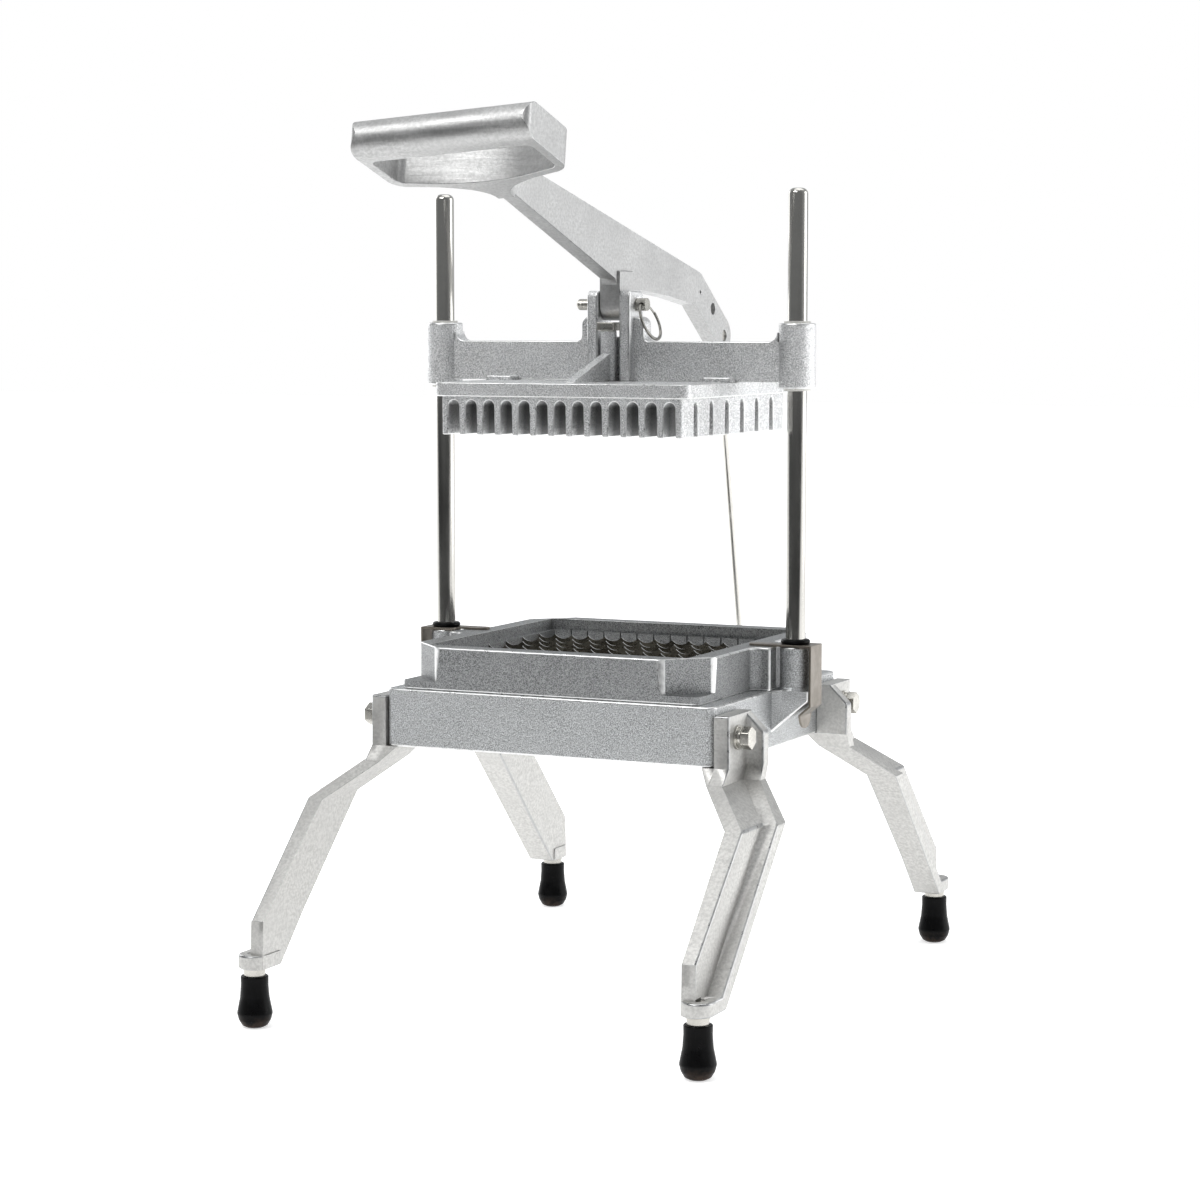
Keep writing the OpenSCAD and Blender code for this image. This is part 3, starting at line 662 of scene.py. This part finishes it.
class CUTTER_OT_castings(bpy.types.Operator):
    """Sand-cast frame, blade holder, bracket, pusher head and push block"""

    bl_idname = "cutter.castings"
    bl_label = "Castings"

    def execute(self, context):
        sizes = context.scene.cutter_sizes
        skin_of = {
            "base_frame": "Sand cast skin",
            "rear_bracket": "Sand cast skin",
            # The pusher head takes the brighter copy of the cast skin, a painted light.
            "pusher_head": "Bright cast skin",
        }
        for node, skin in skin_of.items():
            dress(node, (skin, "Rubbed edge"), sizes.casting_round, 3, hollow=sizes.casting_fillet)
        # The push block takes the brightened finger field skin with painted shade between the fingers.
        dress("push_block", ("Finger field skin", "Rubbed edge"), sizes.casting_round * BLOCK_SHARE)
        lowest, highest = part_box("length_blades")[0].z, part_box("cross_blades")[1].z
        slots = lowest - SLOT_MARGIN, highest + SLOT_MARGIN
        less = sizes.casting_round / sizes.holder_round
        rule = lambda edge: self.holder_share(edge, slots, less)
        # The holder takes the darker copy of the cast skin, a painted shade.
        skin = ("Dark cast skin", "Rubbed edge")
        dress("blade_holder", skin, sizes.holder_round, 4, rule, sizes.casting_fillet)
        return {"FINISHED"}

    def holder_share(self, edge, slots, less):
        """Full rounding on the upright corners, less elsewhere and none at the blade slots."""
        low, high = sorted(v.co.z for v in edge.verts)
        if slots[0] < high < slots[1]:
            return 0.0
        return 1.0 if high - low > UPRIGHT else less


class CUTTER_OT_legs(bpy.types.Operator):
    """Four smooth cast legs"""

    bl_idname = "cutter.legs"
    bl_label = "Legs"

    def execute(self, context):
        sizes = context.scene.cutter_sizes
        for end in ("front", "rear"):
            for side in ("right", "left"):
                node = f"leg_{end}_{side}"
                # The legs take the brightened copy of the tumbled casting, a painted light.
                dress(node, ("Leg casting", "Worn edge"), sizes.leg_round, 3, hollow=sizes.leg_fillet)
        return {"FINISHED"}


class CUTTER_OT_handle(bpy.types.Operator):
    """Lever casting with its grip ring"""

    bl_idname = "cutter.handle"
    bl_label = "Handle"

    def execute(self, context):
        width = context.scene.cutter_sizes.leg_round * HANDLE_SHARE
        dress("handle", ("Tumbled casting", "Worn edge"), width, 3)
        return {"FINISHED"}


class CUTTER_OT_rods(bpy.types.Operator):
    """Guide rods and rear link"""

    bl_idname = "cutter.rods"
    bl_label = "Rods and link"

    def execute(self, context):
        for node in ("guide_rod_right", "guide_rod_left", "link"):
            dress(node, ("Rod steel",), context.scene.cutter_sizes.fine_round)
        return {"FINISHED"}


class CUTTER_OT_blades(bpy.types.Operator):
    """Scalloped blade grid with bright ground edges"""

    bl_idname = "cutter.blades"
    bl_label = "Blades"

    def execute(self, context):
        for node in ("cross_blades", "length_blades"):
            name = node + "_piece"
            mesh = as_mesh(merged(node), name)
            for face in mesh.polygons:
                face.material_index = int(face.normal.z > EDGE_SLANT)
            # The blades' steel is darkened as painted shade; their up-facing ground edges are bright.
            finished(mesh, name, node, ("Blade steel", "Rubbed edge"))
        return {"FINISHED"}


class CUTTER_OT_fasteners(bpy.types.Operator):
    """Bolts, washers, screws, studs and link pins"""

    bl_idname = "cutter.fasteners"
    bl_label = "Fasteners"

    def execute(self, context):
        width = context.scene.cutter_sizes.fine_round
        for node in ("leg_bolts", "bracket_screws", "head_bolt"):
            dress(node, ("Bright plating",), width * BOLT_SHARE)
        for node in ("leg_washers", "foot_studs", "link_pin_low", "link_retainer", "link_pin_top"):
            dress(node, ("Bright plating",), width)
        return {"FINISHED"}


class CUTTER_OT_rubber(bpy.types.Operator):
    """Rubber feet and stop rings"""

    bl_idname = "cutter.rubber"
    bl_label = "Rubber"

    def execute(self, context):
        for end in ("front", "rear"):
            for side in ("right", "left"):
                dress(f"foot_{end}_{side}", ("Moulded rubber",), context.scene.cutter_sizes.foot_round)
        for side in ("right", "left"):
            dress(f"stop_ring_{side}", ("Moulded rubber",), 0.0)
        return {"FINISHED"}


class CUTTER_OT_clips(bpy.types.Operator):
    """Sheet clips over the rod posts"""

    bl_idname = "cutter.clips"
    bl_label = "Clips"

    def execute(self, context):
        for side in ("right", "left"):
            dress(f"clip_{side}", ("Clip plating",), context.scene.cutter_sizes.fine_round)
        return {"FINISHED"}


class CUTTER_OT_bushes(bpy.types.Operator):
    """Plastic bushes in the rod bosses"""

    bl_idname = "cutter.bushes"
    bl_label = "Bushes"

    def execute(self, context):
        for side in ("right", "left"):
            dress(f"bush_{side}", ("Bearing plastic",), context.scene.cutter_sizes.fine_round)
        return {"FINISHED"}


class CUTTER_OT_release_pin(bpy.types.Operator):
    """Quick-release pin with its lock balls"""

    bl_idname = "cutter.release_pin"
    bl_label = "Release pin"

    def execute(self, context):
        width = context.scene.cutter_sizes.fine_round
        low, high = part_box("release_pin")
        bm = merged("release_pin")
        for side in (-1, 1):
            spot = Vector((low.x + BALL_INSET, side * BALL_OFFSET, (low.z + high.z) / 2))
            bmesh.ops.create_uvsphere(
                bm,
                u_segments=BALL_SEGMENTS,
                v_segments=BALL_SEGMENTS // 2,
                radius=BALL_RADIUS,
                matrix=Matrix.Translation(spot),
            )
        weigh(bm, width)
        mesh = as_mesh(bm, "release_pin_piece")
        finished(mesh, "release_pin_piece", "release_pin", ("Bright plating",), width)
        return {"FINISHED"}


class CUTTER_OT_pull_ring(bpy.types.Operator):
    """Split pull ring of two turns of wire"""

    bl_idname = "cutter.pull_ring"
    bl_label = "Pull ring"

    def execute(self, context):
        sizes = context.scene.cutter_sizes
        eyelet = Vector(JOINT["ring_swing"]["pos_m"])
        low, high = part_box("key_ring")
        centre = (low + high) / 2
        lean = math.atan2(centre.x - eyelet.x, eyelet.z - centre.z)
        bm = bmesh.new()
        wire = bmesh.ops.create_circle(
            bm, cap_ends=True, radius=sizes.ring_wire / 2, segments=WIRE_CORNERS
        )["verts"]
        bmesh.ops.scale(bm, verts=wire, vec=(1, WIRE_HEIGHT, 1))
        bmesh.ops.rotate(bm, verts=wire, cent=(0, 0, 0), matrix=Matrix.Rotation(math.pi / 2, 3, "X"))
        bmesh.ops.translate(bm, verts=wire, vec=(-sizes.ring_wire / 2, 0, sizes.ring_radius))
        bmesh.ops.spin(
            bm,
            geom=bm.verts[:] + bm.edges[:] + bm.faces[:],
            cent=(0, 0, 0),
            axis=(1, 0, 0),
            dvec=(sizes.ring_wire / RING_STEPS, 0, 0),
            angle=RING_TURN,
            steps=RING_STEPS,
        )
        bmesh.ops.recalc_face_normals(bm, faces=bm.faces)
        bmesh.ops.rotate(bm, verts=bm.verts, cent=(0, 0, 0), matrix=Matrix.Rotation(-lean, 3, "Y"))
        bmesh.ops.translate(bm, verts=bm.verts, vec=centre)
        finished(as_mesh(bm, "pull_ring"), "pull_ring", "key_ring", ("Ring wire",))
        return {"FINISHED"}


class CUTTER_OT_stage(bpy.types.Operator):
    """Pale floor, soft lights and the camera"""

    bl_idname = "cutter.stage"
    bl_label = "Stage"

    def execute(self, context):
        scene, stage = context.scene, context.scene.cutter_stage
        bm = bmesh.new()
        bmesh.ops.create_grid(bm, x_segments=1, y_segments=1, size=FLOOR_REACH)
        floor = bpy.data.objects.new("floor", as_mesh(bm, "floor"))
        scene.collection.objects.link(floor)
        floor.data.materials.append(self.pale_floor())
        self.world(scene, stage.ambient)
        for side, (spot, size) in LIGHTS.items():
            self.soft_light(side + "_light", spot, size, getattr(stage, side + "_power"))
        lens = bpy.data.cameras.new("camera")
        lens.sensor_width = SENSOR_WIDTH
        lens.lens = stage.lens
        lens.clip_start, lens.clip_end = CLIP_DISTANCES
        camera = bpy.data.objects.new("camera", lens)
        scene.collection.objects.link(camera)
        camera.location = stage.camera_place
        camera.rotation_euler = (math.pi / 2 - stage.camera_pitch, 0, stage.camera_turn)
        scene.camera = camera
        scene.view_settings.view_transform = "Standard"
        return {"FINISHED"}

    def pale_floor(self):
        """White floor, which the polished pieces mirror dark on the side of the camera."""
        pale, tree, principled = shader("Pale floor", WHITE_FLOOR, 0.0, 0.9)
        where = place(tree)
        reach = add(tree, "ShaderNodeVectorMath", links={0: where}, operation="LENGTH").outputs["Value"]
        depth = add(tree, "ShaderNodeSeparateXYZ", links={"Vector": where}).outputs["Y"]
        seen = add(tree, "ShaderNodeLightPath").outputs["Is Camera Ray"]
        lit = calculate(tree, "MAXIMUM", spread(tree, depth, *MIRROR_DEPTHS, 0.0, 1.0), seen)
        glow = calculate(tree, "MULTIPLY", spread(tree, reach, *GLOW_REACH, 0.6, 1.0), lit)
        set_skin(tree, principled, tint(tree, lit, MIRRORED_FLOOR, WHITE_FLOOR))
        principled.inputs["Emission Color"].default_value = (1, 1, 1, 1)
        tree.links.new(glow, principled.inputs["Emission Strength"])
        return pale

    def soft_light(self, name, spot, size, power):
        """Large soft light that faces the cutter."""
        data = bpy.data.lights.new(name, "AREA")
        data.shape = "RECTANGLE"
        data.size, data.size_y = size
        data.energy = power
        light = bpy.data.objects.new(name, data)
        bpy.context.scene.collection.objects.link(light)
        light.location = spot
        light.rotation_euler = (LIT_POINT - Vector(spot)).to_track_quat("-Z", "Y").to_euler()

    def world(self, scene, ambient):
        """White to the camera, and for all else bright behind the cutter and dim in front."""
        world = bpy.data.worlds.new("studio")
        world.use_nodes = True
        tree = world.node_tree
        tree.nodes.clear()
        where = add(tree, "ShaderNodeTexCoord").outputs["Generated"]
        depth = add(tree, "ShaderNodeSeparateXYZ", links={"Vector": where}).outputs["Y"]
        glow = spread(tree, depth, *AMBIENT_TURN, ambient * FRONT_AMBIENT, ambient)
        around = add(tree, "ShaderNodeBackground", {"Color": (0.96, 0.98, 1, 1)}, {"Strength": glow})
        white = add(tree, "ShaderNodeBackground", {"Color": (1, 1, 1, 1), "Strength": 1.0})
        seen = add(tree, "ShaderNodeLightPath")
        both = add(tree, "ShaderNodeMixShader", links={"Fac": seen.outputs["Is Camera Ray"]})
        tree.links.new(around.outputs[0], both.inputs[1])
        tree.links.new(white.outputs[0], both.inputs[2])
        add(tree, "ShaderNodeOutputWorld", links={"Surface": both.outputs[0]})
        scene.world = world


OPERATORS = (
    CUTTER_OT_castings,
    CUTTER_OT_legs,
    CUTTER_OT_handle,
    CUTTER_OT_rods,
    CUTTER_OT_blades,
    CUTTER_OT_fasteners,
    CUTTER_OT_rubber,
    CUTTER_OT_clips,
    CUTTER_OT_bushes,
    CUTTER_OT_release_pin,
    CUTTER_OT_pull_ring,
    CUTTER_OT_stage,
)


class CUTTER_PT_panel(bpy.types.Panel):
    """Settings and steps of the dressing"""

    bl_idname = "CUTTER_PT_panel"
    bl_label = "Lettuce cutter"
    bl_space_type = "VIEW_3D"
    bl_region_type = "UI"
    bl_category = "Cutter"

    def draw(self, context):
        for group in (context.scene.cutter_sizes, context.scene.cutter_colours, context.scene.cutter_stage):
            column = self.layout.column()
            for name in group.__annotations__:
                column.prop(group, name)
        for operator in OPERATORS:
            self.layout.operator(operator.bl_idname)


CLASSES = (CutterSizes, CutterColours, CutterStage, *OPERATORS, CUTTER_PT_panel)


def register():
    for made in CLASSES:
        bpy.utils.register_class(made)
    bpy.types.Scene.cutter_sizes = PointerProperty(type=CutterSizes)
    bpy.types.Scene.cutter_colours = PointerProperty(type=CutterColours)
    bpy.types.Scene.cutter_stage = PointerProperty(type=CutterStage)


def unregister():
    del bpy.types.Scene.cutter_sizes
    del bpy.types.Scene.cutter_colours
    del bpy.types.Scene.cutter_stage
    for made in reversed(CLASSES):
        bpy.utils.unregister_class(made)


def main():
    register()
    bpy.ops.cutter.castings()
    bpy.ops.cutter.legs()
    bpy.ops.cutter.handle()
    bpy.ops.cutter.rods()
    bpy.ops.cutter.blades()
    bpy.ops.cutter.fasteners()
    bpy.ops.cutter.rubber()
    bpy.ops.cutter.clips()
    bpy.ops.cutter.bushes()
    bpy.ops.cutter.release_pin()
    bpy.ops.cutter.pull_ring()
    bpy.ops.cutter.stage()


if __name__ == "__main__":
    main()
